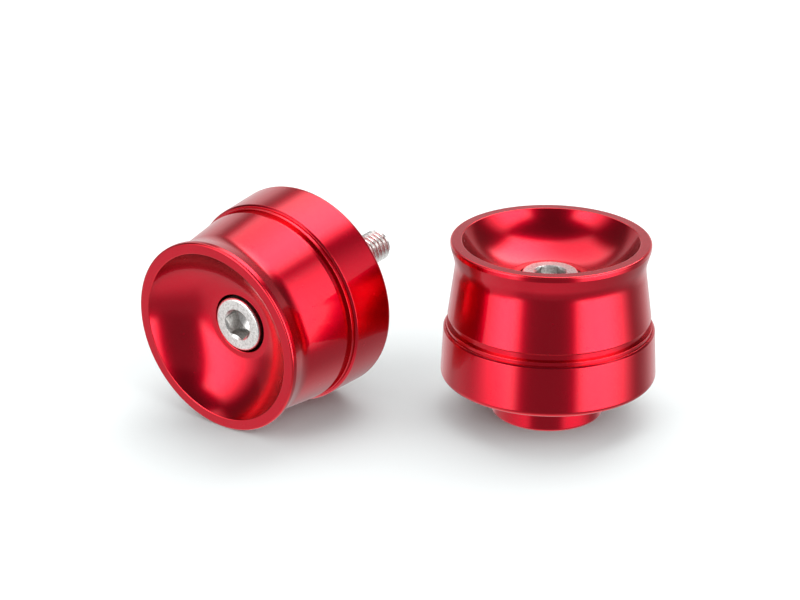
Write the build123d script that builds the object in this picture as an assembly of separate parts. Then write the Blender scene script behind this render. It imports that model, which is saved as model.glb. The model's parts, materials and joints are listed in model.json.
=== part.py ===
from build123d import *
import os
from math import asin, atan2, cos, degrees, hypot, radians, sin

# A pair of turned bar end weights. One lies on its lip and its ring, the other stands on its
# locating spigot. Each is a stack on one axis: flared body, rear ring, spigot bush, split lock
# washer and socket head cap screw.
#
# All sizes are in millimetres. Each bar end is built standing, with the free end of its spigot
# at height 0 and its cup facing up. A "depth" is measured down its axis from the lip face.

# ---- screw and washer, M6 ----
shank_radius = 2.7
thread_radius = 2.95
head_radius = 5.0
head_height = 6.0
head_edge_round = 0.45
socket_across_flats = 5.0
socket_depth = 3.2
socket_chamfer = 0.3
drill_point_depth = 1.2
thread_tip_chamfer = 0.8
washer_inner_radius = 3.15
washer_outer_radius = 4.95
washer_thickness = 1.6
washer_slit = 1.1
long_screw_length = 35.0
short_screw_length = 20.0

# ---- body with its cup ----
lip_radius = 17.7
lip_width = 2.0
lip_edge_round = 0.35
lip_band = 1.0
waist_radius = 16.75
waist_depth = 4.3
waist_fillet = 6.5
wall_end_radius = 18.1
wall_end_depth = 14.2
wall_end_chamfer = 0.15
cup_depth = 6.6
cup_floor_land = 1.1
cup_sag = 1.25
cup_floor_fillet = 3.0
cup_mouth_chamfer = 0.2
head_proud = 0.6
head_clearance = 0.5
screw_clearance = 0.35

# ---- groove and ring ----
groove_drop = 0.4
groove_length = 1.3
groove_fillet = 0.3
collar_radius = 18.3
collar_length = 0.7
ring_lead_chamfer = 0.3
ring_front_radius = 18.8
ring_rear_radius = 19.3
ring_rear_depth = 25.5
ring_rear_round = 0.9
ring_web = 3.0
boss_radius = 15.0

# ---- spigot bush ----
spigot_radius = 10.0
spigot_reach = 7.1
spigot_chamfer = 0.6
flange_radius = 12.5
flange_thickness = 2.0
nose_radius = 8.0
seat_clearance = 0.05

# ---- layout of the pair ----
lying_heading = 53.0
lying_lip_x = -58.7
lying_lip_y = -9.4
lying_socket_turn = 17.0
standing_socket_turn = 2.0
box_tolerance = 0.01

# ---- worked-out places along one bar end ----
length = ring_rear_depth + spigot_reach
head_top = cup_depth - head_proud
bearing = head_top + head_height
washer_seat = bearing + washer_thickness
bore_radius = thread_radius + screw_clearance
free_thread = bearing + long_screw_length - length
counterbore_radius = head_radius + head_clearance
cup_floor_radius = counterbore_radius + cup_floor_land
groove_radius = wall_end_radius - groove_drop
ring_front_depth = wall_end_depth + groove_length
ring_step_depth = ring_front_depth + collar_length
flange_front = ring_rear_depth - flange_thickness
web_front = flange_front - ring_web


def place(radius, depth):
    """Point of a section, from its radius and its depth below the lip face."""
    return (radius, length - depth)


def corner(sketch, radius, depth):
    """The section corner nearest to a radius and a depth."""
    x, y = place(radius, depth)
    return sketch.vertices().sort_by_distance(Vector(x, y, 0))[0]


def turned(sketch):
    """Solid turned from a section about the axis."""
    return revolve(Plane.XZ * sketch, Axis.Z, 360)


def weight_body():
    """Flared body: lip, concave cup, counterbore, waist, groove and the boss that the ring sits on."""
    cup_rim = place(lip_radius - lip_width, 0)
    cup_floor_edge = place(cup_floor_radius, cup_depth)
    cup_wall = SagittaArc(cup_floor_edge, cup_rim, -cup_sag)
    outline = Polyline(
        cup_rim,
        place(lip_radius, 0),
        place(lip_radius, lip_band),
        place(waist_radius, waist_depth),
        place(wall_end_radius, wall_end_depth),
        place(groove_radius, wall_end_depth),
        place(groove_radius, ring_front_depth),
        place(boss_radius, ring_front_depth),
        place(boss_radius, web_front),
        place(bore_radius, web_front),
        place(bore_radius, washer_seat),
        place(counterbore_radius, washer_seat),
        place(counterbore_radius, cup_depth),
        cup_floor_edge,
    )
    section = make_face(Wire([*outline.edges(), cup_wall.edge()]))
    section = Sketch() + section
    section = fillet(corner(section, waist_radius, waist_depth), waist_fillet)
    section = fillet(corner(section, lip_radius, 0), lip_edge_round)
    section = fillet(corner(section, cup_floor_radius, cup_depth), cup_floor_fillet)
    section = fillet(corner(section, groove_radius, wall_end_depth), groove_fillet)
    section = chamfer(corner(section, wall_end_radius, wall_end_depth), wall_end_chamfer)
    section = chamfer(corner(section, counterbore_radius, cup_depth), cup_mouth_chamfer)
    return turned(section)


def rear_ring():
    """Ring on the boss: a low collar, a chamfered step and a web clamped between body and bush."""
    section = Sketch() + make_face(Polyline(
        place(boss_radius + seat_clearance, ring_front_depth),
        place(collar_radius, ring_front_depth),
        place(collar_radius, ring_step_depth),
        place(ring_front_radius - ring_lead_chamfer, ring_step_depth),
        place(ring_front_radius, ring_step_depth + ring_lead_chamfer),
        place(ring_rear_radius, ring_rear_depth),
        place(flange_radius + seat_clearance, ring_rear_depth),
        place(flange_radius + seat_clearance, flange_front),
        place(nose_radius + seat_clearance, flange_front),
        place(nose_radius + seat_clearance, web_front),
        place(boss_radius + seat_clearance, web_front),
        close=True,
    ))
    section = fillet(corner(section, ring_rear_radius, ring_rear_depth), ring_rear_round)
    return turned(section)


def spigot_bush():
    """Bush: its nose centres it in the ring, its flange clamps the ring, its spigot meets the bar."""
    section = Sketch() + make_face(Polyline(
        place(bore_radius, web_front),
        place(nose_radius, web_front),
        place(nose_radius, flange_front),
        place(flange_radius, flange_front),
        place(flange_radius, ring_rear_depth),
        place(spigot_radius, ring_rear_depth),
        place(spigot_radius, length),
        place(bore_radius, length),
        close=True,
    ))
    section = chamfer(corner(section, spigot_radius, length), spigot_chamfer)
    return turned(section)


def lock_washer():
    """Split spring washer of the narrow kind that fits under a cap screw's head, pressed flat."""
    ring = Circle(washer_outer_radius) - Circle(washer_inner_radius)
    slit = Pos((washer_outer_radius + washer_inner_radius) / 2, 0) * Rectangle(
        2 * (washer_outer_radius - washer_inner_radius), washer_slit, rotation=20
    )
    return Pos(0, 0, length - washer_seat) * extrude(ring - slit, washer_thickness)


def cap_screw(screw_length, socket_turn):
    """Socket head cap screw: a reduced shank, then a thread drawn as a cylinder of its outer size."""
    tip = bearing + screw_length
    thread_start = tip - free_thread
    section = Sketch() + make_face(Polyline(
        place(0, head_top),
        place(head_radius, head_top),
        place(head_radius, bearing),
        place(shank_radius, bearing),
        place(shank_radius, thread_start),
        place(thread_radius, thread_start),
        place(thread_radius, tip),
        place(0, tip),
        close=True,
    ))
    section = fillet(corner(section, head_radius, head_top), head_edge_round)
    section = chamfer(corner(section, thread_radius, tip), thread_tip_chamfer)
    screw = turned(section)
    socket_radius = socket_across_flats / 2
    mouth = Pos(0, 0, length - head_top)
    hexagon = RegularPolygon(socket_radius, 6, major_radius=False, rotation=socket_turn)
    screw -= mouth * extrude(hexagon, -socket_depth)
    floor = mouth * Pos(0, 0, -socket_depth)
    drill_point = Cone(0, socket_radius, drill_point_depth, align=(Align.CENTER, Align.CENTER, Align.MAX))
    screw -= floor * drill_point
    corner_radius = socket_radius / cos(radians(30))
    lead_in = Cone(
        corner_radius - socket_chamfer, corner_radius + socket_chamfer, 2 * socket_chamfer,
        align=(Align.CENTER, Align.CENTER, Align.CENTER),
    )
    return screw - mouth * lead_in


def bar_end(screw_length, socket_turn):
    """The five pieces of one bar end, standing on its spigot."""
    return {
        "weight_body": weight_body(),
        "rear_ring": rear_ring(),
        "spigot_bush": spigot_bush(),
        "lock_washer": lock_washer(),
        "cap_screw": cap_screw(screw_length, socket_turn),
    }


def reach_down(edge, tilt):
    """How far a tilted edge, by the centre of its round, reaches below the axis at the lip face."""
    radius, depth, rounding = edge
    return radius * cos(tilt) - depth * sin(tilt) + rounding


def level_tilt(front, rear):
    """Tilt in radians at which two edges reach down equally far."""
    run = rear[1] - front[1]
    rise = rear[0] - front[0]
    return atan2(rise, run) + asin((rear[2] - front[2]) / hypot(run, rise))


def lying_place():
    """Where a standing bar end goes to lie on its lip and its ring, with its cup to the front left."""
    lead_depth = ring_step_depth + ring_lead_chamfer
    taper = (ring_rear_radius - ring_front_radius) / (ring_rear_depth - lead_depth)
    rear_round_radius = ring_rear_radius - ring_rear_round * (taper + hypot(1, taper))
    lip_edges = [
        (lip_radius - lip_edge_round, lip_edge_round, lip_edge_round),
        (lip_radius, lip_band, 0),
    ]
    ring_edges = [
        (ring_front_radius, lead_depth, 0),
        (rear_round_radius, ring_rear_depth - ring_rear_round, ring_rear_round),
    ]

    def lip_reach(tilt):
        return max(reach_down(edge, tilt) for edge in lip_edges)

    def uneven(tilt):
        return abs(lip_reach(tilt) - max(reach_down(edge, tilt) for edge in ring_edges))

    tilt = min((level_tilt(front, rear) for front in lip_edges for rear in ring_edges), key=uneven)
    turn = Rot(0, 0, lying_heading) * Rot(0, -90 - degrees(tilt), 0)
    return Pos(lying_lip_x, lying_lip_y, lip_reach(tilt)) * turn * Pos(0, 0, -length)


def centred_shift(pieces):
    """The level move that puts the origin under the middle of the pieces' box."""
    points = [point for piece in pieces for point in piece.tessellate(box_tolerance)[0]]
    middle_x = (min(point.X for point in points) + max(point.X for point in points)) / 2
    middle_y = (min(point.Y for point in points) + max(point.Y for point in points)) / 2
    return Pos(-middle_x, -middle_y, 0)


def bar_end_pair():
    """Both bar ends where they lie and stand, as node names and shapes."""
    left = bar_end(long_screw_length, lying_socket_turn)
    right = bar_end(short_screw_length, standing_socket_turn)
    laid = lying_place()
    nodes = {f"left_{name}": laid * piece for name, piece in left.items()}
    nodes.update({f"right_{name}": piece for name, piece in right.items()})
    shift = centred_shift(nodes.values())
    return {name: shift * piece for name, piece in nodes.items()}


def main():
    """Write one file for each node."""
    os.makedirs("parts", exist_ok=True)
    for node, shape in bar_end_pair().items():
        export_step(shape, f"parts/{node}.step")


if __name__ == "__main__":
    main()
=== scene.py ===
"""Looks of a pair of turned bar end weights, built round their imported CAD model."""

import json
from collections import namedtuple
from math import asin, atan2, ceil, cos, hypot, pi, radians, sin, sqrt, tan

import bmesh
import bpy
from bpy.props import FloatProperty, FloatVectorProperty, IntProperty, PointerProperty
from bpy.types import Operator, Panel, PropertyGroup
from mathutils import Matrix, Vector


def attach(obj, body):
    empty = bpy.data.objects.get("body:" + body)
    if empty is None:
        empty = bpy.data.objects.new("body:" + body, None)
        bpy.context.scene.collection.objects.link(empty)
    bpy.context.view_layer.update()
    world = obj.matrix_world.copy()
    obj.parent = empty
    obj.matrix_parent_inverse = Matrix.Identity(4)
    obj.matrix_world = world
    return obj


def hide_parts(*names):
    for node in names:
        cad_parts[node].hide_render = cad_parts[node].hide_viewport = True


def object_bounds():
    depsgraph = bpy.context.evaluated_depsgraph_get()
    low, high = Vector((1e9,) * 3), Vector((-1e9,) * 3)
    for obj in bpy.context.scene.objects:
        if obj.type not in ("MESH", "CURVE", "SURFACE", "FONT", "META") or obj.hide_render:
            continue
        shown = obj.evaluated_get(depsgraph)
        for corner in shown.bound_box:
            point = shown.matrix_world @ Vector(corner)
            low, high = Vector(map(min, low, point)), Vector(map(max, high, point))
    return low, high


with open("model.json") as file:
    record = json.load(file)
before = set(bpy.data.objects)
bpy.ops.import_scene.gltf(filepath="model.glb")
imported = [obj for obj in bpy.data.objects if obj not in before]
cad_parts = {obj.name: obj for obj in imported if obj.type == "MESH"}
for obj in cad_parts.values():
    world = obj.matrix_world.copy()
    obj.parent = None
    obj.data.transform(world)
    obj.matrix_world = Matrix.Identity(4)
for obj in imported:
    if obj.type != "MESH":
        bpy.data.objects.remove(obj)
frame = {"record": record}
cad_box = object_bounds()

bl_info = {
    "name": "Bar end weights",
    "version": (1, 0, 0),
    "blender": (4, 5, 0),
    "location": "3D View > Sidebar > Bar Ends",
    "description": "Turned, anodised bar end weights with their screws, washers and studio stage",
    "category": "Add Mesh",
}

SIDES = ("left", "right")
MILLIMETRE = 0.001
FACETS = 240
SCREW_FACETS = 192
WASHER_FACETS = 96
ARC_STEP = radians(11)
ARC_CHORD = 0.35 * MILLIMETRE
HOLD = 0.05 * MILLIMETRE
MERGE = 0.001 * MILLIMETRE
SHARP = radians(32)
MARKS = "turning"
BOWL_STEPS = 9
CUP_STEPS = 24

# small breaks of edges, as radii
HAIR_BREAK = 0.06 * MILLIMETRE
FINE_BREAK = 0.1 * MILLIMETRE
MOUTH_BREAK = 0.14 * MILLIMETRE
NECK_BREAK = 0.15 * MILLIMETRE
WALL_BREAK = 0.16 * MILLIMETRE
EDGE_BREAK = 0.2 * MILLIMETRE
HEAD_BREAK = 0.3 * MILLIMETRE
LIP_BREAK = 0.4 * MILLIMETRE
SPIGOT_BREAK = 0.5 * MILLIMETRE

# the head's knurl: its distance from the top and the foot of the head, and how it fades in
KNURL_TOP = 1.3 * MILLIMETRE
KNURL_FOOT = 0.5 * MILLIMETRE
KNURL_FADE = 0.2 * MILLIMETRE
KNURL_START = 0.3

# the thread's profile over one turn, from 0 to 1: its rows, and where the crown starts and is full
THREAD_ROWS = (0.0, 0.125, 0.23, 0.34, 0.4375, 0.5625, 0.66, 0.77, 0.875)
CROWN = (0.25, 0.875)
RUN_OUT = 1.1 * MILLIMETRE
SPARE_TURNS = 1000

# what the pieces mirror, in degrees: bearing 0 is in front of the pair and 90 to its right
BACKDROP_EDGE = (105, 150)
LEFT_BOX = ((-96, -50), (-46, -30))
RIGHT_BOX = ((22, 38), (60, 106))
BOX_RISE = (-17, 42, 12)
CEILING = (42, 150, 14)
REAR_BOX = (98, 138, 10)
FAR_FLOOR = (-90, -32, 8)
NEAR_FLOOR = (-90, -64, 24)
LEFT_FLOOR = ((-110, -60, 24), (-50, -24, 10))
FAR_FLOOR_SHARE = 0.46
LEFT_FLOOR_SHARE = 0.9


def length(name, millimetres, description):
    """A length property with its default given in millimetres."""
    return FloatProperty(
        name=name, description=description, default=millimetres * MILLIMETRE,
        unit="LENGTH", subtype="DISTANCE", precision=5, min=0.0,
    )


def colour(name, value, description):
    """A colour property."""
    return FloatVectorProperty(
        name=name, description=description, default=value, subtype="COLOR", min=0.0, max=1.0,
    )


def factor(name, value, description, most=1.0):
    """A plain number property."""
    return FloatProperty(name=name, description=description, default=value, min=0.0, max=most)


def angle(name, value, description):
    """An angle property with its default given in degrees."""
    return FloatProperty(
        name=name, description=description, default=radians(value), unit="ROTATION", subtype="ANGLE",
    )


class WeightSizes(PropertyGroup):
    """Sizes of the body, the ring and the bush, as radii and as depths behind the lip face."""

    lip_radius: length("Lip radius", 17.7, "Outside of the lip")
    lip_width: length("Lip width", 2.0, "Flat face of the lip")
    lip_round: length("Lip round", 0.35, "Round on the lip's outer edge")
    lip_band: length("Lip band", 1.0, "Straight band behind the lip face")
    waist_radius: length("Waist radius", 16.75, "Narrowest place of the outer wall")
    waist_depth: length("Waist depth", 4.3, "Where the wall is narrowest")
    waist_round: length("Waist round", 6.5, "Sweep of the flare at the waist")
    wall_radius: length("Wall end radius", 18.1, "Widest place of the outer wall")
    wall_depth: length("Wall end depth", 14.2, "Where the outer wall ends")
    cup_depth: length("Cup depth", 6.6, "Flat at the bottom of the cup")
    cup_land: length("Cup land", 1.1, "Flat round the screw at the bottom of the cup")
    cup_sag: length("Cup sag", 1.25, "Hollow of the cup's wall")
    cup_round: length("Cup round", 3.0, "Round between the cup's wall and its flat")
    counterbore: length("Counterbore radius", 5.5, "Hole for the screw head")
    bore: length("Bore radius", 3.3, "Hole for the screw's shank")
    groove_radius: length("Groove radius", 17.7, "Bottom of the groove before the ring")
    ring_depth: length("Ring front depth", 15.5, "Where the ring starts")
    collar: length("Collar radius", 18.3, "Low collar at the front of the ring")
    step_depth: length("Ring step depth", 16.2, "Where the ring steps out from its collar")
    ring_lead: length("Ring lead", 0.3, "Slope at the step of the ring")
    ring_front: length("Ring front radius", 18.8, "Ring behind its slope")
    ring_rear: length("Ring rear radius", 19.3, "Ring at its rear edge")
    ring_end: length("Ring end depth", 25.5, "Rear face of the ring")
    ring_round: length("Ring round", 0.9, "Round on the ring's rear edge")
    boss: length("Boss radius", 15.0, "Seat of the ring on the body")
    web_depth: length("Web depth", 20.5, "Front face of the ring's web")
    flange_depth: length("Flange depth", 23.5, "Front face of the bush's flange")
    flange: length("Flange radius", 12.5, "Flange of the bush")
    nose: length("Nose radius", 8.0, "Nose of the bush inside the ring")
    spigot: length("Spigot radius", 10.0, "Part of the bush that enters the bar")
    spigot_end: length("Spigot end depth", 32.6, "Rear face of the bush")
    seat: length("Seat gap", 0.05, "Gap round a seated piece")


class ScrewSizes(PropertyGroup):
    """Sizes of the cap screws and their lock washers."""

    head_top: length("Head top depth", 6.0, "Top of the head behind the lip face")
    head_radius: length("Head radius", 5.0, "Outside of the head")
    head_height: length("Head height", 6.0, "Height of the head")
    head_round: length("Head round", 0.45, "Round on the head's upper edge")
    socket: length("Socket", 2.5, "Half of the socket's width across its flats")
    socket_depth: length("Socket depth", 3.2, "Depth of the socket's flats")
    drill_point: length("Drill point", 1.2, "Cone below the socket's flats")
    shank: length("Shank radius", 2.7, "Reduced shank")
    crest: length("Thread crest radius", 2.95, "Top of the thread")
    root: length("Thread root radius", 2.4, "Bottom of the thread")
    pitch: length("Pitch", 1.0, "Distance from one turn of the thread to the next")
    tip_chamfer: length("Tip chamfer", 0.8, "Slope at the end of the thread")
    free_thread: length("Thread length", 14.4, "Length of the thread")
    left_length: length("Left screw length", 35.0, "Shank and thread of the lying bar end's screw")
    right_length: length("Right screw length", 20.0, "Shank and thread of the standing one's screw")
    knurls: IntProperty(name="Knurls", description="Ridges round the head", default=48, min=0)
    knurl_depth: length("Knurl depth", 0.12, "Depth of the grooves between the ridges")
    left_turn: angle("Left socket turn", 17.0, "Turn of the lying bar end's socket")
    right_turn: angle("Right socket turn", 2.0, "Turn of the standing bar end's socket")
    washer_inner: length("Washer inner radius", 3.15, "Hole of the washer")
    washer_outer: length("Washer outer radius", 4.95, "Outside of the washer")
    washer_thickness: length("Washer thickness", 1.6, "Thickness of the washer")
    washer_slit: length("Washer slit", 1.1, "Opening of the split washer")


class Finishes(PropertyGroup):
    """Colours and gloss of the finishes."""

    red: colour("Red", (0.57, 0.001, 0.018), "Anodised red")
    deep_red: colour("Deep red", (0.47, 0.0006, 0.014), "Anodised red where the dye took deeper")
    # painted highlight: a lighter red laid on the small rounded edges, standing in for the softboxes'
    # glints there
    glint_red: colour("Edge red", (0.78, 0.03, 0.04), "Anodised red on thin edges")
    red_gloss: factor("Red roughness", 0.225, "Roughness of the anodised surface")
    steel: colour("Stainless", (0.74, 0.73, 0.715), "Stainless steel of the screws")
    # laid by random mottle, and kept in the thread roots as painted shade where the crowns and edges get a
    # painted highlight
    grey_steel: colour("Stainless shade", (0.4, 0.39, 0.375), "Stainless steel in its low spots")
    spring: colour("Spring steel", (0.36, 0.36, 0.37), "Spring steel of the washers")
    # painted light: the cool tint cancels the red light that the pieces throw into the floor's shadows; the
    # open floor burns out to white
    floor: colour("Floor", (0.88, 0.92, 0.92), "Plain pale floor")


class StageSettings(PropertyGroup):
    """Camera, lights and floor."""

    focal: FloatProperty(name="Focal length", description="Lens in millimetres", default=108.0, min=1.0)
    camera_right: length("Camera right", 4.2, "Camera to the right of the pair's middle")
    camera_away: length("Camera away", 397.0, "Camera in front of the pair's middle")
    camera_height: length("Camera height", 186.0, "Camera above the floor")
    camera_pitch: angle("Camera pitch", 22.81, "How far the camera looks down")
    camera_yaw: angle("Camera yaw", 0.58, "How far the camera turns to the left")
    floor_size: length("Floor size", 6000.0, "Side of the floor")
    box_distance: length("Softbox distance", 900.0, "Distance of the softboxes")
    side_light: factor("Side light", 0.9, "Light that the side softboxes throw on the floor", 100.0)
    rear_light: factor("Rear light", 1.6, "Light that the rear softbox throws on the floor", 100.0)
    fill: factor("Fill light", 0.47, "Light from all round on the floor", 10.0)
    bounce: factor("Bounce light", 0.2, "Light that the pieces throw back on the floor", 10.0)
    box_glow: factor("Softbox glow", 4.6, "Side softboxes as the pieces mirror them", 100.0)
    rear_glow: factor("Rear glow", 5.0, "Rear softbox as the pieces mirror it", 100.0)
    room: factor("Room glow", 0.34, "Room in front as the pieces mirror it")
    ceiling: factor("Ceiling glow", 0.15, "Ceiling as the pieces mirror it")
    backdrop: factor("Backdrop glow", 0.95, "Backdrop as the pieces mirror it", 10.0)
    ground: factor("Floor glow", 1.1, "Floor as the pieces mirror it", 10.0)


# ---- node trees ----


class Wire:
    """A node's output, with arithmetic that adds Math nodes to its tree."""

    def __init__(self, bench, socket):
        self.bench, self.socket = bench, socket

    def _math(self, operation, *values):
        return self.bench.node("ShaderNodeMath", {"operation": operation}, *values)

    def __add__(self, other):
        return self._math("ADD", self, other)

    def __sub__(self, other):
        return self._math("SUBTRACT", self, other)

    def __rsub__(self, other):
        return self._math("SUBTRACT", other, self)

    def __mul__(self, other):
        return self._math("MULTIPLY", self, other)

    def __truediv__(self, other):
        return self._math("DIVIDE", self, other)

    def __rtruediv__(self, other):
        return self._math("DIVIDE", other, self)

    __radd__, __rmul__ = __add__, __mul__

    def apply(self, operation, *others):
        """A Math node with any other operation on this value."""
        return self._math(operation, self, *others)

    def between(self, low, high):
        """0 below low, 1 above high and straight in between."""
        return self.bench.node(
            "ShaderNodeMapRange", {}, {"Value": self, "From Min": low, "From Max": high},
        )

    def rising(self, low, high):
        """0 below low, 1 above high and smooth in between."""
        return self.bench.node("ShaderNodeMapRange", {"interpolation_type": "SMOOTHSTEP"}, {
            "Value": self, "From Min": low, "From Max": high})

    def within(self, low, high, soft):
        """1 between two values, fading to 0 over a soft width outside them."""
        return self.band((low - soft, low), (high, high + soft))

    def band(self, start, end):
        """Rises from 0 to 1 over the start's two values and falls back over the end's."""
        return self.rising(*start) * (1 - self.rising(*end))


class Bench:
    """A node tree under construction."""

    def __init__(self, tree):
        self.tree = tree

    def node(self, kind, settings=None, *values, output=None):
        """Add a node: its settings first, then its sockets, in order or as a dict by name."""
        node = self.tree.nodes.new(kind)
        for name, value in (settings or {}).items():
            if name == "stops":
                self.stops(node.color_ramp, value)
            else:
                setattr(node, name, value)
        if values and isinstance(values[0], dict):
            pairs = values[0].items()
        else:
            pairs = enumerate(values)
        for key, value in pairs:
            self.fill(self.named(node.inputs, key), value)
        chosen = self.named(node.outputs, output or 0) if node.outputs else None
        return Wire(self, chosen)

    @staticmethod
    def named(sockets, key):
        """A usable socket by its name, or by its place among the usable ones."""
        usable = [socket for socket in sockets if socket.enabled]
        if isinstance(key, int):
            return usable[key]
        return next(socket for socket in usable if socket.name == key)

    def fill(self, socket, value):
        """Link a wire to a socket or set its value."""
        if isinstance(value, Wire):
            self.tree.links.new(value.socket, socket)
        else:
            socket.default_value = value

    @staticmethod
    def stops(ramp, stops):
        """Give a colour ramp its stops, as places and grey levels."""
        while len(ramp.elements) < len(stops):
            ramp.elements.new(0.5)
        for element, (place, level) in zip(ramp.elements, stops):
            element.position = place
            element.color = (level, level, level, 1)


def geometry_tree(name, inputs):
    """A Geometry Nodes tree with an Outline input and named inputs, as its bench and a dict of wires."""
    tree = bpy.data.node_groups.new(name, "GeometryNodeTree")
    tree.interface.new_socket("Outline", in_out="INPUT", socket_type="NodeSocketGeometry")
    tree.interface.new_socket("Mesh", in_out="OUTPUT", socket_type="NodeSocketGeometry")
    for title, kind in inputs.items():
        tree.interface.new_socket(title, in_out="INPUT", socket_type="NodeSocket" + kind)
    bench = Bench(tree)
    entry = tree.nodes.new("NodeGroupInput")
    return bench, {output.name: Wire(bench, output) for output in entry.outputs if output.name}


TURNED_INPUTS = {
    "Facets": "Int", "Start": "Float", "Sweep": "Float", "Knurls": "Float", "Knurl Depth": "Float",
    "Pitch": "Float", "Crest": "Float", "Root": "Float", "Thread Top": "Float", "Thread End": "Float",
    "Tip Radius": "Float", "Material": "Material",
}
ROW_MARKS = ("edge", "hexagon", "lead", "knurl", "helix")
Row = namedtuple("Row", ("radius", "depth") + ROW_MARKS, defaults=(0.0,) * len(ROW_MARKS))


def turned_tree():
    """Geometry Nodes that turn an outline about Z, with hexagon, knurl and thread rows."""
    bench, given = geometry_tree("Turned piece", TURNED_INPUTS)
    node = bench.node
    outline = given["Outline"]
    rows = node("GeometryNodeAttributeDomainSize", {"component": "MESH"}, outline)
    stations = given["Facets"] + 1
    grid = node("GeometryNodeMeshGrid", {}, {
        "Size X": 1.0, "Size Y": 1.0, "Vertices X": stations, "Vertices Y": rows})
    index = node("GeometryNodeInputIndex")
    station = ((index + 0.5) / rows).apply("FLOOR")
    row = index - station * rows

    def sampled(value, kind):
        return node("GeometryNodeSampleIndex", {"data_type": kind, "domain": "POINT"}, {
            "Geometry": outline, "Value": value, "Index": row})

    at = sampled(node("GeometryNodeInputPosition"), "FLOAT_VECTOR")
    part = {axis: node("ShaderNodeSeparateXYZ", {}, at, output=axis) for axis in "XYZ"}
    mark = {
        name: sampled(node("GeometryNodeInputNamedAttribute", {"data_type": "FLOAT"}, name), "FLOAT")
        for name in ROW_MARKS
    }
    share = station / given["Facets"]
    turn = given["Start"] + share * given["Sweep"]

    # a hexagon row's radius is that of its flats, and a lead row dips towards them
    off_flat = ((share * given["Sweep"] * 3 / pi).apply("FRACT") - 0.5) * (pi / 3)
    reach = 1 / off_flat.apply("COSINE")
    radius = part["X"] * (1 + mark["hexagon"] * (reach - 1))
    height = part["Z"] - mark["lead"] * part["X"] * (1 / cos(pi / 6) - reach)
    ridge = 0.5 - 0.5 * (share * given["Knurls"] * 2 * pi).apply("COSINE")
    radius = radius - mark["knurl"] * given["Knurl Depth"] * ridge

    # thread rows follow the helix between the thread's two ends
    risen = height + given["Pitch"] * share
    held = risen.apply("MAXIMUM", given["Thread End"]).apply("MINIMUM", given["Thread Top"])
    phase = (held / given["Pitch"] - share + SPARE_TURNS).apply("FRACT")
    crown = (1 - 2 * (phase - 0.5).apply("ABSOLUTE")).between(*CROWN)
    run_out = (given["Thread Top"] - held).between(0.0, RUN_OUT)
    cut = (given["Crest"] - given["Root"]) * (1 - crown) * run_out
    tip = given["Tip Radius"] + held - given["Thread End"]
    threaded = (given["Crest"] - cut).apply("MINIMUM", tip)
    radius = radius + mark["helix"] * (threaded - radius)
    height = height + mark["helix"] * (held - height)
    # the thread's crowns carry the edge mark, which the finishes paint as a highlight, leaving the roots
    # darker
    edge = mark["edge"] + mark["helix"] * (crown - mark["edge"])

    place = node("ShaderNodeCombineXYZ", {}, radius * turn.apply("COSINE"),
                 radius * turn.apply("SINE"), height)
    shaped = node("GeometryNodeSetPosition", {}, {"Geometry": grid, "Position": place})
    marks = node("ShaderNodeCombineXYZ", {}, share, part["Y"], 0.0)
    marked = node("GeometryNodeStoreNamedAttribute", {"data_type": "FLOAT2", "domain": "CORNER"}, {
        "Geometry": shaped, "Name": MARKS, "Value": marks})
    marked = node("GeometryNodeStoreNamedAttribute", {"data_type": "FLOAT", "domain": "POINT"}, {
        "Geometry": marked, "Name": "edge", "Value": edge})
    closed = node("GeometryNodeMergeByDistance", {}, {"Geometry": marked, "Distance": MERGE})
    smooth = node("GeometryNodeSetShadeSmooth", {}, {"Geometry": closed})
    real = node("GeometryNodeRealizeInstances", {}, {"Geometry": smooth})
    coated = node("GeometryNodeSetMaterial", {}, {"Geometry": real, "Material": given["Material"]})
    bench.tree.links.new(coated.socket, bench.tree.nodes.new("NodeGroupOutput").inputs[0])
    return bench.tree


def tree_named(name, make):
    """A node tree by name, made on first use."""
    return bpy.data.node_groups.get(name) or make()


# ---- outlines ----


def rounded(corners):
    """Rows of a closed outline whose corners are (radius, depth, rounding)."""
    rows = []
    for number, (radius, depth, rounding) in enumerate(corners):
        here = Vector((radius, depth))
        if not rounding:
            rows.append(Row(radius, depth))
            continue
        back = (Vector(corners[number - 1][:2]) - here).normalized()
        onward = (Vector(corners[(number + 1) % len(corners)][:2]) - here).normalized()
        half = back.angle(onward) / 2
        run = rounding / tan(half)
        centre = here + (back + onward).normalized() * (rounding / sin(half))
        start, end = here + back * run - centre, here + onward * run - centre
        first = atan2(start.y, start.x)
        swing = (atan2(end.y, end.x) - first + pi) % (2 * pi) - pi
        steps = max(3, ceil(abs(swing) / ARC_STEP), ceil(abs(swing) * rounding / ARC_CHORD))
        hold = min(HOLD, rounding / 4)
        rows.append(Row(*(here + back * (run + hold))))
        for step in range(steps + 1):
            bend = first + swing * step / steps
            # small rounds get an edge mark, along which the finishes paint a highlight
            edge_glint = sin(pi * step / steps) if rounding < MILLIMETRE else 0.0
            rows.append(Row(centre.x + rounding * cos(bend), centre.y + rounding * sin(bend), edge_glint))
        rows.append(Row(*(here + onward * (run + hold))))
    return rows


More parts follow.
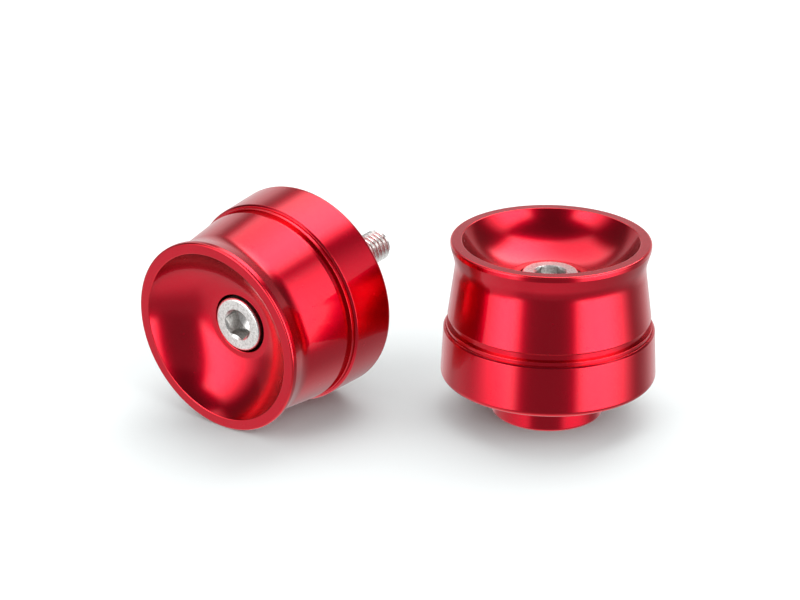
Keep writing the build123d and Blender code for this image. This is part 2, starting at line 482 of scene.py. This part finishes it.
def cup_wall(sizes):
    """Corners from the flat at the bottom of the cup up its hollow wall to the lip."""
    foot = Vector((sizes.counterbore + sizes.cup_land, sizes.cup_depth))
    rim = Vector((sizes.lip_radius - sizes.lip_width, 0.0))
    chord = rim - foot
    bend = (chord.length ** 2 / 4 + sizes.cup_sag ** 2) / (2 * sizes.cup_sag)
    outward = Vector((-chord.y, chord.x)).normalized()
    centre = (foot + rim) / 2 - outward * (bend - sizes.cup_sag)
    small_depth = sizes.cup_depth - sizes.cup_round
    small_radius = centre.x + sqrt((bend - sizes.cup_round) ** 2 - (small_depth - centre.y) ** 2)
    lift = asin((small_radius - centre.x) / (bend - sizes.cup_round))
    top = atan2(rim.x - centre.x, rim.y - centre.y)
    corners = []
    for step in range(BOWL_STEPS):
        swing = lift * step / BOWL_STEPS
        corners.append((small_radius + sizes.cup_round * sin(swing),
                        small_depth + sizes.cup_round * cos(swing), 0))
    for step in range(CUP_STEPS + 1):
        swing = lift + (top - lift) * step / CUP_STEPS
        corners.append((centre.x + bend * sin(swing), centre.y + bend * cos(swing), 0))
    return corners


def body_outline(sizes, screw):
    """The flared body: lip, waist, groove, boss, bore, counterbore and cup."""
    washer_seat = screw.head_top + screw.head_height + screw.washer_thickness
    wall = cup_wall(sizes)
    wall[-1] = (*wall[-1][:2], EDGE_BREAK)
    return rounded([
        *wall,
        (sizes.lip_radius, 0.0, sizes.lip_round),
        (sizes.lip_radius, sizes.lip_band, LIP_BREAK),
        (sizes.waist_radius, sizes.waist_depth, sizes.waist_round),
        (sizes.wall_radius, sizes.wall_depth, WALL_BREAK),
        (sizes.groove_radius, sizes.wall_depth, EDGE_BREAK),
        (sizes.groove_radius, sizes.ring_depth, 0.0),
        (sizes.boss, sizes.ring_depth, 0.0),
        (sizes.boss, sizes.web_depth, 0.0),
        (sizes.bore, sizes.web_depth, 0.0),
        (sizes.bore, washer_seat, 0.0),
        (sizes.counterbore, washer_seat, 0.0),
        (sizes.counterbore, sizes.cup_depth, MOUTH_BREAK),
    ])


def ring_outline(sizes):
    """The ring with its low collar, sloped step, rounded rear edge and inner web."""
    return rounded([
        (sizes.boss + sizes.seat, sizes.ring_depth, 0.0),
        (sizes.collar, sizes.ring_depth, FINE_BREAK),
        (sizes.collar, sizes.step_depth, 0.0),
        (sizes.ring_front - sizes.ring_lead, sizes.step_depth, FINE_BREAK),
        (sizes.ring_front, sizes.step_depth + sizes.ring_lead, FINE_BREAK),
        (sizes.ring_rear, sizes.ring_end, sizes.ring_round),
        (sizes.flange + sizes.seat, sizes.ring_end, FINE_BREAK),
        (sizes.flange + sizes.seat, sizes.flange_depth, 0.0),
        (sizes.nose + sizes.seat, sizes.flange_depth, 0.0),
        (sizes.nose + sizes.seat, sizes.web_depth, 0.0),
        (sizes.boss + sizes.seat, sizes.web_depth, 0.0),
    ])


def bush_outline(sizes):
    """The bush: nose, flange and spigot."""
    return rounded([
        (sizes.bore, sizes.web_depth, 0.0),
        (sizes.nose, sizes.web_depth, EDGE_BREAK),
        (sizes.nose, sizes.flange_depth, 0.0),
        (sizes.flange, sizes.flange_depth, 0.0),
        (sizes.flange, sizes.ring_end, FINE_BREAK),
        (sizes.spigot, sizes.ring_end, 0.0),
        (sizes.spigot, sizes.spigot_end, SPIGOT_BREAK),
        (sizes.bore, sizes.spigot_end, HEAD_BREAK),
    ])


def washer_outline(screw):
    """The washer's rounded section."""
    top = screw.head_top + screw.head_height
    bottom = top + screw.washer_thickness
    return rounded([
        (screw.washer_inner, top, EDGE_BREAK),
        (screw.washer_outer, top, EDGE_BREAK),
        (screw.washer_outer, bottom, EDGE_BREAK),
        (screw.washer_inner, bottom, EDGE_BREAK),
    ])


def open_rounded(corners):
    """Rows of an open outline, whose first and last corners stay sharp."""
    return rounded([corners[0][:2] + (0,), *corners[1:-1], corners[-1][:2] + (0,)])


def screw_outline(screw, screw_length):
    """The cap screw from its drill point, out over the head and down to the tip."""
    floor = screw.head_top + screw.socket_depth
    mouth = screw.socket / cos(pi / 6) + HAIR_BREAK
    bearing = screw.head_top + screw.head_height
    tip = bearing + screw_length
    thread_top = tip - screw.free_thread
    socket = [
        Row(0.0, floor + screw.drill_point),
        Row(screw.socket * 0.3, floor + screw.drill_point * 0.7),
        Row(screw.socket * 0.96, floor + screw.drill_point * 0.04),
        Row(screw.socket * 0.975, floor),
        Row(screw.socket, floor, hexagon=1.0),
        Row(screw.socket, floor - FINE_BREAK, hexagon=1.0),
        Row(screw.socket, (floor + screw.head_top) / 2, hexagon=1.0),
        Row(screw.socket, screw.head_top + 0.00002, hexagon=1.0, lead=1.0),
    ]
    face = open_rounded([
        (mouth - FINE_BREAK, screw.head_top + FINE_BREAK),
        (mouth, screw.head_top, HAIR_BREAK),
        (screw.head_radius, screw.head_top, screw.head_round),
        (screw.head_radius, screw.head_top + KNURL_TOP - FINE_BREAK),
    ])[1:]
    knurl = [
        Row(screw.head_radius, screw.head_top + KNURL_TOP, knurl=KNURL_START),
        Row(screw.head_radius, screw.head_top + KNURL_TOP + KNURL_FADE, knurl=1.0),
        Row(screw.head_radius, bearing - KNURL_FOOT - KNURL_FADE, knurl=1.0),
        Row(screw.head_radius, bearing - KNURL_FOOT, knurl=KNURL_START),
    ]
    under = open_rounded([
        (screw.head_radius, bearing - KNURL_FOOT + FINE_BREAK),
        (screw.head_radius, bearing, HEAD_BREAK),
        (screw.shank, bearing, NECK_BREAK),
        (screw.shank, bearing + 0.001),
    ])
    shank = [Row(screw.shank, thread_top - FINE_BREAK), Row(screw.shank, thread_top)]
    turns = ceil(screw.free_thread / screw.pitch) + 1
    lowest = -tip - screw.pitch * 1.001
    helix = []
    for turn in range(turns):
        start = (ceil(-thread_top / screw.pitch) - turn) * screw.pitch
        heights = [start - place * screw.pitch for place in THREAD_ROWS]
        helix += [Row(screw.crest, -height, helix=1.0) for height in heights if height >= lowest]
    point = screw.crest - screw.tip_chamfer
    end = [Row(point, tip, edge=0.5), Row(point - HEAD_BREAK, tip), Row(0.0, tip)]
    return [*socket, *face, *knurl, *under, *shank, *helix, *end]


# ---- making pieces ----


def seat_of(side, head_top):
    """Where one bar end sits: the middle of its lip face, with Z out of the cup."""
    mount = next(m for m in frame["record"]["mounts"] if m["name"] == f"{side}_key_socket")
    front = Vector(mount["axis"]).normalized()
    lip = Vector(mount["pos_m"]) + front * head_top
    reference = Vector((1, 0, 0)) if front.z > 0.9 else Vector((0, 0, 1))
    across = (reference - front * reference.dot(front)).normalized()
    turned = Matrix((across, front.cross(across), front)).transposed()
    return Matrix.Translation(lip) @ turned.to_4x4()


def outline_object(name, rows):
    """A chain of vertices that carries an outline into the turning tree."""
    mesh = bpy.data.meshes.new(name + "_outline")
    along, points = 0.0, []
    for number, row in enumerate(rows):
        if number:
            before = rows[number - 1]
            along += hypot(row.radius - before.radius, row.depth - before.depth)
        points.append((row.radius, along, -row.depth))
    mesh.from_pydata(points, [], [])
    for mark in ROW_MARKS:
        attribute = mesh.attributes.new(mark, "FLOAT", "POINT")
        attribute.data.foreach_set("value", [getattr(row, mark) for row in rows])
    piece = bpy.data.objects.new(name, mesh)
    bpy.context.scene.collection.objects.link(piece)
    return piece


def turned_piece(name, rows, placed, material, closed=True, **inputs):
    """Turn an outline with Geometry Nodes and leave a plain mesh where it belongs."""
    rows = [*rows, rows[0]] if closed else rows
    piece = outline_object(name, rows)
    modifier = piece.modifiers.new("Turning", "NODES")
    modifier.node_group = tree_named("Turned piece", turned_tree)
    values = {"Facets": FACETS, "Start": 0.0, "Sweep": 2 * pi, "Pitch": MILLIMETRE,
              "Material": material, **inputs}
    for item in modifier.node_group.interface.items_tree:
        if item.in_out == "INPUT" and item.name in values:
            modifier[item.identifier] = values[item.name]
    shaped = bpy.data.meshes.new_from_object(
        piece.evaluated_get(bpy.context.evaluated_depsgraph_get()))
    piece.modifiers.remove(modifier)
    outline = piece.data
    piece.data = shaped
    shaped.name = name
    bpy.data.meshes.remove(outline)
    tidy_mesh(shaped, placed)
    return piece


def tidy_mesh(mesh, placed):
    """Close, orient and place a turned mesh, and mark its sharp edges."""
    work = bmesh.new()
    work.from_mesh(mesh)
    bmesh.ops.dissolve_degenerate(work, dist=MERGE / 10, edges=work.edges)
    open_edges = [edge for edge in work.edges if edge.is_boundary]
    if open_edges:
        bmesh.ops.holes_fill(work, edges=open_edges, sides=0)
    bmesh.ops.recalc_face_normals(work, faces=work.faces)
    if work.calc_volume(signed=True) < 0:
        bmesh.ops.reverse_faces(work, faces=work.faces)
    if any(not edge.is_manifold for edge in work.edges):
        raise RuntimeError(f"{mesh.name} isn't closed")
    work.transform(placed)
    work.to_mesh(mesh)
    work.free()
    mesh.set_sharp_from_angle(angle=SHARP)


# ---- finishes ----


def new_material(name, metallic, **constants):
    """A material with its shader, as the bench to build on and the shader node."""
    material = bpy.data.materials.new(name)
    material.use_nodes = True
    material.node_tree.nodes.clear()
    bench = Bench(material.node_tree)
    shader = bench.tree.nodes.new("ShaderNodeBsdfPrincipled")
    shader.inputs["Metallic"].default_value = metallic
    for socket, value in constants.items():
        shader.inputs[socket.replace("_", " ")].default_value = value
    output = bench.tree.nodes.new("ShaderNodeOutputMaterial")
    bench.tree.links.new(shader.outputs[0], output.inputs[0])
    return material, bench, shader


def turning_marks(bench, spacing):
    """Fine and broad tool marks that run round the axis, as two values from 0 to 1."""
    surface = bench.node("ShaderNodeUVMap", {"uv_map": MARKS})
    along = bench.node("ShaderNodeSeparateXYZ", {}, surface, output="Y")
    fine = bench.node("ShaderNodeTexNoise", {"noise_dimensions": "1D"}, {
        "W": along / spacing, "Scale": 1.0, "Detail": 2.0, "Roughness": 0.6})
    broad = bench.node("ShaderNodeTexNoise", {"noise_dimensions": "1D"}, {
        "W": along / (spacing * 14), "Scale": 1.0, "Detail": 1.0, "Roughness": 0.5})
    return fine, broad


def clouds(bench, scale, detail=3.0):
    """Slow variation through the solid, from 0 to 1."""
    place = bench.node("ShaderNodeTexCoord", {}, output="Object")
    return bench.node("ShaderNodeTexNoise", {"noise_dimensions": "3D"}, {
        "Vector": place, "Scale": scale, "Detail": detail, "Roughness": 0.55})


def blend(bench, share, first, second):
    """A colour between two others."""
    sides = [(*c, 1.0) if not isinstance(c, Wire) else c for c in (first, second)]
    return bench.node("ShaderNodeMix", {"data_type": "RGBA"}, {
        "Factor": share, "A": sides[0], "B": sides[1]})


def bumped(bench, height, distance, strength):
    """A normal from a height from 0 to 1, whose full depth is the distance."""
    return bench.node("ShaderNodeBump", {}, {
        "Strength": strength, "Distance": distance, "Height": height})


def anodised(name, finish):
    """Red dye in a clear oxide over turned aluminium."""
    material, bench, shader = new_material(
        name, 1.0, Coat_Roughness=0.06, Coat_IOR=1.6, IOR=1.6)
    fine, broad = turning_marks(bench, 0.045 * MILLIMETRE)
    slow = clouds(bench, 60.0)
    dust = clouds(bench, 900.0, 2.0)
    edge = bench.node("ShaderNodeAttribute", {"attribute_name": "edge"}, output="Fac")
    dyed = blend(bench, slow.between(0.3, 0.7) * 0.6 + fine * 0.25, finish.red, finish.deep_red)
    # painted highlight: lighter red along the small rounded edges
    dyed = blend(bench, edge * 0.55, dyed, finish.glint_red)
    bench.fill(shader.inputs["Base Color"], dyed)
    gloss = finish.red_gloss + fine * 0.035 + slow * 0.02 + dust.between(0.66, 0.82) * 0.04
    bench.fill(shader.inputs["Roughness"], gloss)
    bench.fill(shader.inputs["Coat Weight"], 0.27 + broad * 0.06 - dust.between(0.66, 0.82) * 0.06)
    height = fine * 0.75 + broad * 0.25
    bench.fill(shader.inputs["Normal"], bumped(bench, height, 0.004 * MILLIMETRE, 0.5))
    return material


def stainless(name, finish):
    """Bright stainless steel with turning marks and the mottle of a tumbled screw."""
    material, bench, shader = new_material(name, 1.0, IOR=2.2)
    fine, broad = turning_marks(bench, 0.06 * MILLIMETRE)
    mottle = clouds(bench, 2600.0, 4.0)
    slow = clouds(bench, 240.0)
    edge = bench.node("ShaderNodeAttribute", {"attribute_name": "edge"}, output="Fac")
    # random mottle greys the steel; the edge mark holds the grey off rounded edges and thread crowns, a
    # painted highlight that leaves painted shade in the thread roots
    shade = mottle.between(0.42, 0.66) * 0.7 + slow.between(0.35, 0.75) * 0.3 - edge * 0.5
    bench.fill(shader.inputs["Base Color"], blend(
        bench, shade.apply("MAXIMUM", 0.0), finish.steel, finish.grey_steel))
    bench.fill(shader.inputs["Roughness"], 0.24 + mottle * 0.12 + fine * 0.05 - edge * 0.06)
    height = mottle * 0.6 + fine * 0.25 + broad * 0.15
    bench.fill(shader.inputs["Normal"], bumped(bench, height, 0.012 * MILLIMETRE, 0.6))
    return material


def spring_steel(name, finish):
    """Ground spring steel with a thin oil film."""
    material, bench, shader = new_material(name, 1.0, IOR=2.4)
    fine, broad = turning_marks(bench, 0.08 * MILLIMETRE)
    film = clouds(bench, 420.0)
    dark = tuple(c * 0.55 for c in finish.spring)
    bench.fill(shader.inputs["Base Color"], blend(
        bench, film.between(0.35, 0.7) * 0.7 + fine * 0.2, finish.spring, dark))
    bench.fill(shader.inputs["Roughness"], 0.34 + film * 0.12 + fine * 0.06)
    bench.fill(shader.inputs["Normal"], bumped(bench, fine + broad, 0.01 * MILLIMETRE, 0.5))
    return material


def pale_floor(name, finish):
    """Plain matt floor."""
    material, bench, shader = new_material(name, 0.0, Roughness=0.7)
    grain = clouds(bench, 30.0)
    # the floor colour carries a cool tint, painted to cancel red bounce light in the shadows
    dim = tuple(c * 0.985 for c in finish.floor)
    bench.fill(shader.inputs["Base Color"], blend(bench, grain, finish.floor, dim))
    return material


def finish_named(name, make, finish):
    """A material by name, made on first use."""
    return bpy.data.materials.get(name) or make(name, finish)


# ---- operators ----


class BAR_ENDS_OT_flared_bodies(Operator):
    """Turn both flared bodies"""

    bl_idname = "bar_ends.flared_bodies"
    bl_label = "Flared bodies"

    def execute(self, context):
        sizes, screw = context.scene.weight_sizes, context.scene.screw_sizes
        for side in SIDES:
            piece = turned_piece(
                f"{side}_flared_body", body_outline(sizes, screw), seat_of(side, screw.head_top),
                finish_named("Red body", anodised, context.scene.finishes))
            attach(piece, f"{side}_weight")
            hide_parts(f"{side}_weight_body")
        return {"FINISHED"}


class BAR_ENDS_OT_rear_rings(Operator):
    """Turn both rear rings"""

    bl_idname = "bar_ends.rear_rings"
    bl_label = "Rear rings"

    def execute(self, context):
        sizes, screw = context.scene.weight_sizes, context.scene.screw_sizes
        for side in SIDES:
            piece = turned_piece(
                f"{side}_clamped_ring", ring_outline(sizes), seat_of(side, screw.head_top),
                finish_named("Red ring", anodised, context.scene.finishes))
            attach(piece, f"{side}_weight")
            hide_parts(f"{side}_rear_ring")
        return {"FINISHED"}


class BAR_ENDS_OT_spigot_bushes(Operator):
    """Turn both spigot bushes"""

    bl_idname = "bar_ends.spigot_bushes"
    bl_label = "Spigot bushes"

    def execute(self, context):
        sizes, screw = context.scene.weight_sizes, context.scene.screw_sizes
        for side in SIDES:
            piece = turned_piece(
                f"{side}_bush", bush_outline(sizes), seat_of(side, screw.head_top),
                finish_named("Red bush", anodised, context.scene.finishes))
            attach(piece, f"{side}_weight")
            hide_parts(f"{side}_spigot_bush")
        return {"FINISHED"}


class BAR_ENDS_OT_lock_washers(Operator):
    """Sweep both split lock washers"""

    bl_idname = "bar_ends.lock_washers"
    bl_label = "Lock washers"

    def execute(self, context):
        screw = context.scene.screw_sizes
        gap = asin(screw.washer_slit / (screw.washer_inner + screw.washer_outer))
        for side in SIDES:
            piece = turned_piece(
                f"{side}_split_washer", washer_outline(screw), seat_of(side, screw.head_top),
                finish_named("Spring steel", spring_steel, context.scene.finishes),
                Facets=WASHER_FACETS, Start=gap, Sweep=2 * pi - 2 * gap)
            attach(piece, f"{side}_washer")
            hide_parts(f"{side}_lock_washer")
        return {"FINISHED"}


class BAR_ENDS_OT_cap_screws(Operator):
    """Turn both cap screws, with their sockets, knurls and threads"""

    bl_idname = "bar_ends.cap_screws"
    bl_label = "Cap screws"

    def execute(self, context):
        screw = context.scene.screw_sizes
        lengths = {"left": screw.left_length, "right": screw.right_length}
        turns = {"left": screw.left_turn, "right": screw.right_turn}
        for side in SIDES:
            tip = screw.head_top + screw.head_height + lengths[side]
            piece = turned_piece(
                f"{side}_socket_screw", screw_outline(screw, lengths[side]),
                seat_of(side, screw.head_top),
                finish_named("Stainless", stainless, context.scene.finishes), closed=False,
                Facets=SCREW_FACETS, Start=turns[side], Knurls=float(screw.knurls),
                Pitch=screw.pitch, Crest=screw.crest, Root=screw.root,
                **{"Knurl Depth": screw.knurl_depth, "Thread Top": screw.free_thread - tip,
                   "Thread End": -tip, "Tip Radius": screw.crest - screw.tip_chamfer})
            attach(piece, f"{side}_screw")
            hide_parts(f"{side}_cap_screw")
        return {"FINISHED"}


def softbox(name, azimuth, elevation, width, height, glow, distance):
    """A rectangular light aimed at the pair. Azimuth 0 is in front and 90 to the right."""
    light = bpy.data.lights.new(name, "AREA")
    light.shape = "RECTANGLE"
    light.size, light.size_y = width, height
    light.energy = glow * pi * width * height
    lamp = bpy.data.objects.new(name, light)
    bpy.context.scene.collection.objects.link(lamp)
    turn, rise = radians(azimuth), radians(elevation)
    away = Vector((sin(turn) * cos(rise), -cos(turn) * cos(rise), sin(rise)))
    lamp.location = away * distance
    lamp.rotation_mode = "QUATERNION"
    lamp.rotation_quaternion = away.to_track_quat("Z", "Y")
    lamp.visible_camera = False
    lamp.visible_glossy = False


class BAR_ENDS_OT_stage(Operator):
    """Lay the floor, hang the lights and set the camera"""

    bl_idname = "bar_ends.stage"
    bl_label = "Stage"

    def execute(self, context):
        stage, scene = context.scene.stage_settings, context.scene
        half = stage.floor_size / 2
        ground = cad_box[0].z - 0.00002
        mesh = bpy.data.meshes.new("floor")
        mesh.from_pydata([(x * half, y * half, ground) for x, y in ((-1, -1), (1, -1), (1, 1), (-1, 1))],
                         [], [(0, 1, 2, 3)])
        mesh.materials.append(finish_named("Pale floor", pale_floor, scene.finishes))
        floor = bpy.data.objects.new("floor", mesh)
        scene.collection.objects.link(floor)
        floor.visible_glossy = False

        far = stage.box_distance
        softbox("Left softbox", -58, 25, far * 0.8, far * 1.3, stage.side_light, far)
        softbox("Right softbox", 57, 25, far * 1.2, far * 1.3, stage.side_light, far)
        softbox("Rear softbox", 180, 58, far * 1.5, far * 1.0, stage.rear_light, far)
        self.room(scene, stage)

        lens = bpy.data.cameras.new("Camera")
        lens.lens, lens.sensor_width = stage.focal, 36.0
        lens.clip_start, lens.clip_end = 0.01, 20.0
        camera = bpy.data.objects.new("Camera", lens)
        scene.collection.objects.link(camera)
        camera.location = (stage.camera_right, -stage.camera_away, stage.camera_height)
        camera.rotation_euler = (pi / 2 - stage.camera_pitch, 0.0, stage.camera_yaw)
        scene.camera = camera
        scene.view_settings.view_transform = "Standard"
        return {"FINISHED"}

    @staticmethod
    def room(scene, stage):
        """A dim room with two softboxes at its sides, a pale backdrop and a pale floor."""
        world = bpy.data.worlds.new("Studio")
        scene.world = world
        world.use_nodes = True
        world.node_tree.nodes.clear()
        bench = Bench(world.node_tree)
        toward = bench.node("ShaderNodeTexCoord", {}, output="Generated")
        x, y, z = (bench.node("ShaderNodeSeparateXYZ", {}, toward, output=axis) for axis in "XYZ")
        rise = z.apply("ARCSINE") * (180 / pi)
        bearing = x.apply("ARCTAN2", 0 - y) * (180 / pi)
        over = z.apply("ARCTAN2", 0 - y) * (180 / pi)
        glow = stage.room + (stage.backdrop - stage.room) * bearing.apply("ABSOLUTE").rising(*BACKDROP_EDGE)
        overhead = (1 - x.apply("ABSOLUTE").rising(0.46, 0.66)) * (0.4 + 0.6 * x.rising(-0.15, 0.35))
        areas = (
            (over.within(*CEILING), stage.ceiling),
            (bearing.band(*LEFT_BOX) * rise.within(*BOX_RISE), stage.box_glow),
            (bearing.band(*RIGHT_BOX) * rise.within(*BOX_RISE), stage.box_glow),
            (overhead * over.within(*REAR_BOX), stage.rear_glow),
            (rise.within(*FAR_FLOOR), stage.ground * FAR_FLOOR_SHARE),
            (bearing.within(*LEFT_FLOOR[0]) * rise.within(*LEFT_FLOOR[1]), stage.ground * LEFT_FLOOR_SHARE),
            (rise.within(*NEAR_FLOOR), stage.ground),
        )
        for cover, level in areas:
            glow = glow + (level - glow) * cover
        path = {ask: bench.node("ShaderNodeLightPath", {}, output=ask)
                for ask in ("Is Camera Ray", "Is Diffuse Ray", "Diffuse Depth")}
        for cover, level in (
            (path["Diffuse Depth"].apply("GREATER_THAN", 0.5), stage.bounce),
            (path["Is Diffuse Ray"], stage.fill),
            (path["Is Camera Ray"], 1.0),
        ):
            glow = glow + (level - glow) * cover
        shade = bench.node("ShaderNodeCombineColor", {}, glow, glow, glow)
        light = bench.node("ShaderNodeBackground", {}, {"Color": shade, "Strength": 1.0})
        output = bench.tree.nodes.new("ShaderNodeOutputWorld")
        bench.tree.links.new(light.socket, output.inputs[0])


class BAR_ENDS_PT_panel(Panel):
    """Lists the pieces in the order in which they are made"""

    bl_label = "Bar Ends"
    bl_space_type = "VIEW_3D"
    bl_region_type = "UI"
    bl_category = "Bar Ends"

    def draw(self, context):
        for step in STEPS:
            self.layout.operator(step.bl_idname)


STEPS = (
    BAR_ENDS_OT_flared_bodies,
    BAR_ENDS_OT_rear_rings,
    BAR_ENDS_OT_spigot_bushes,
    BAR_ENDS_OT_lock_washers,
    BAR_ENDS_OT_cap_screws,
    BAR_ENDS_OT_stage,
)
SETTINGS = {
    "weight_sizes": WeightSizes,
    "screw_sizes": ScrewSizes,
    "finishes": Finishes,
    "stage_settings": StageSettings,
}


def register():
    """Add the settings, the operators and the panel."""
    for settings in SETTINGS.values():
        bpy.utils.register_class(settings)
    for name, settings in SETTINGS.items():
        setattr(bpy.types.Scene, name, PointerProperty(type=settings))
    for step in (*STEPS, BAR_ENDS_PT_panel):
        bpy.utils.register_class(step)


def unregister():
    """Take the panel, the operators and the settings away again."""
    for step in (*STEPS, BAR_ENDS_PT_panel):
        bpy.utils.unregister_class(step)
    for name, settings in SETTINGS.items():
        delattr(bpy.types.Scene, name)
        bpy.utils.unregister_class(settings)


def main():
    """Make everything in order."""
    register()
    bpy.ops.bar_ends.flared_bodies()
    bpy.ops.bar_ends.rear_rings()
    bpy.ops.bar_ends.spigot_bushes()
    bpy.ops.bar_ends.lock_washers()
    bpy.ops.bar_ends.cap_screws()
    bpy.ops.bar_ends.stage()


if __name__ == "__main__":
    main()
